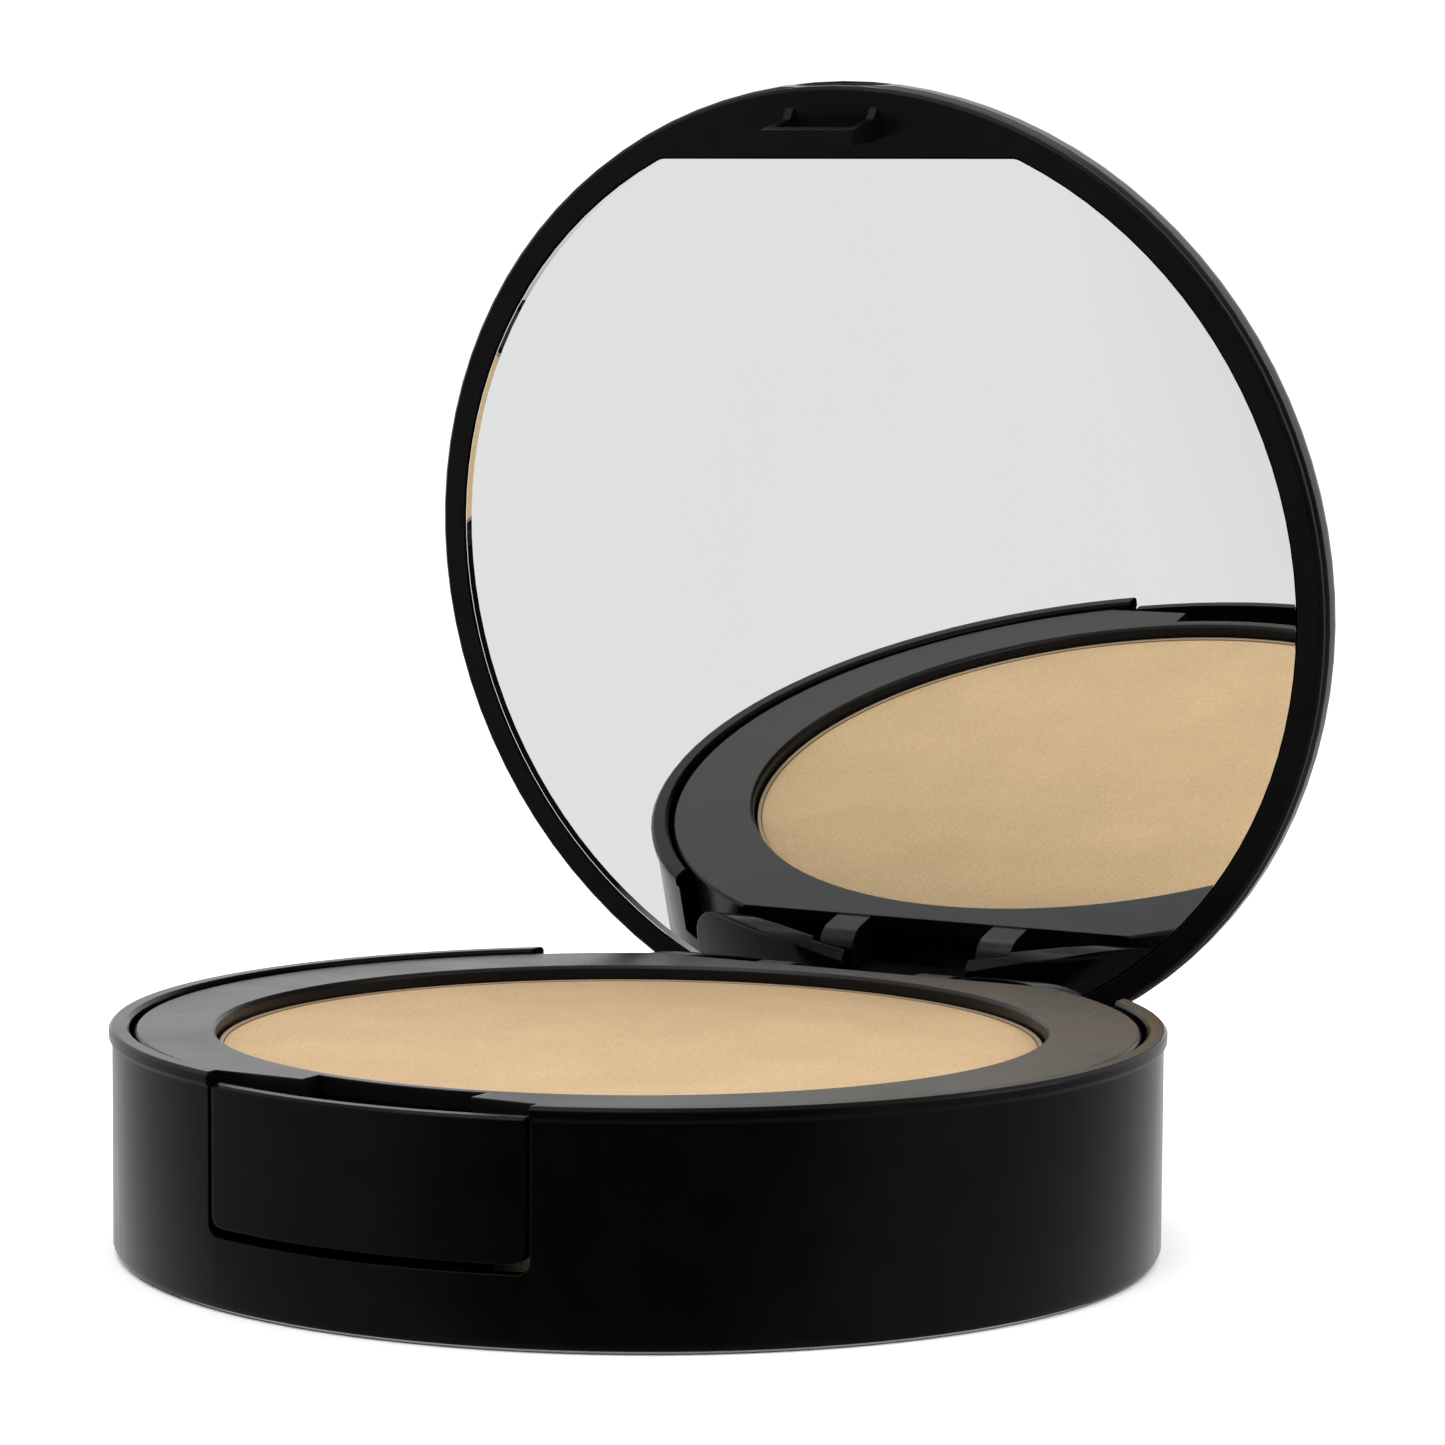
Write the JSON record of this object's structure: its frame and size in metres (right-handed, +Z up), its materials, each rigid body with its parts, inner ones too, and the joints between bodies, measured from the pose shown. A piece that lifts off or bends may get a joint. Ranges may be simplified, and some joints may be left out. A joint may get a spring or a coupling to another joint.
{
  "type": "powder compact",
  "caption": "Round black two-tier pressed powder compact with a mirror lid standing open, a push button at the front and a hinge behind.",
  "frame": {"origin": "centre of the base's flat underside", "axes": "+Z up from the table, -Y towards the push button, +Y towards the hinge, +X along the hinge pin"},
  "size_m": [0.077, 0.081, 0.0847],
  "materials": {
    "black_gloss": "glossy moulded black",
    "black_satin": "semi-gloss moulded black",
    "spring_steel": "drawn wire and strip",
    "pan_aluminium": "pressed sheet",
    "beige_powder": "matte pressed cosmetic powder",
    "adhesive": "dull pale film",
    "foam": "fine latex foam",
    "mirror": "silvered glass"
  },
  "bodies": {
    "base": {"base_shell": "black_gloss", "powder_tray": "black_gloss", "powder_pan": "pan_aluminium", "pressed_powder": "beige_powder", "pan_adhesive": "adhesive", "sponge": "foam", "hinge_pin": "spring_steel", "button_spring": "spring_steel"},
    "lid": {"lid_shell": "black_gloss", "lid_frame": "black_satin", "mirror_glass": "mirror", "mirror_adhesive": "adhesive"},
    "button": {"push_button": "black_gloss"}
  },
  "joints": [
    {"name": "lid_hinge", "type": "hinge", "parent": "base", "child": "lid", "pos_m": [0, 0.0344, 0.0116], "axis": [-1, 0, 0], "range_deg": [-81, 7]},
    {"name": "button_press", "type": "slide", "parent": "base", "child": "button", "axis": [0, 1, 0], "range_m": [0, 0.0008], "stiffness_N_per_m": 300, "springref_m": -0.002, "deforming": ["button_spring"]}
  ]
}
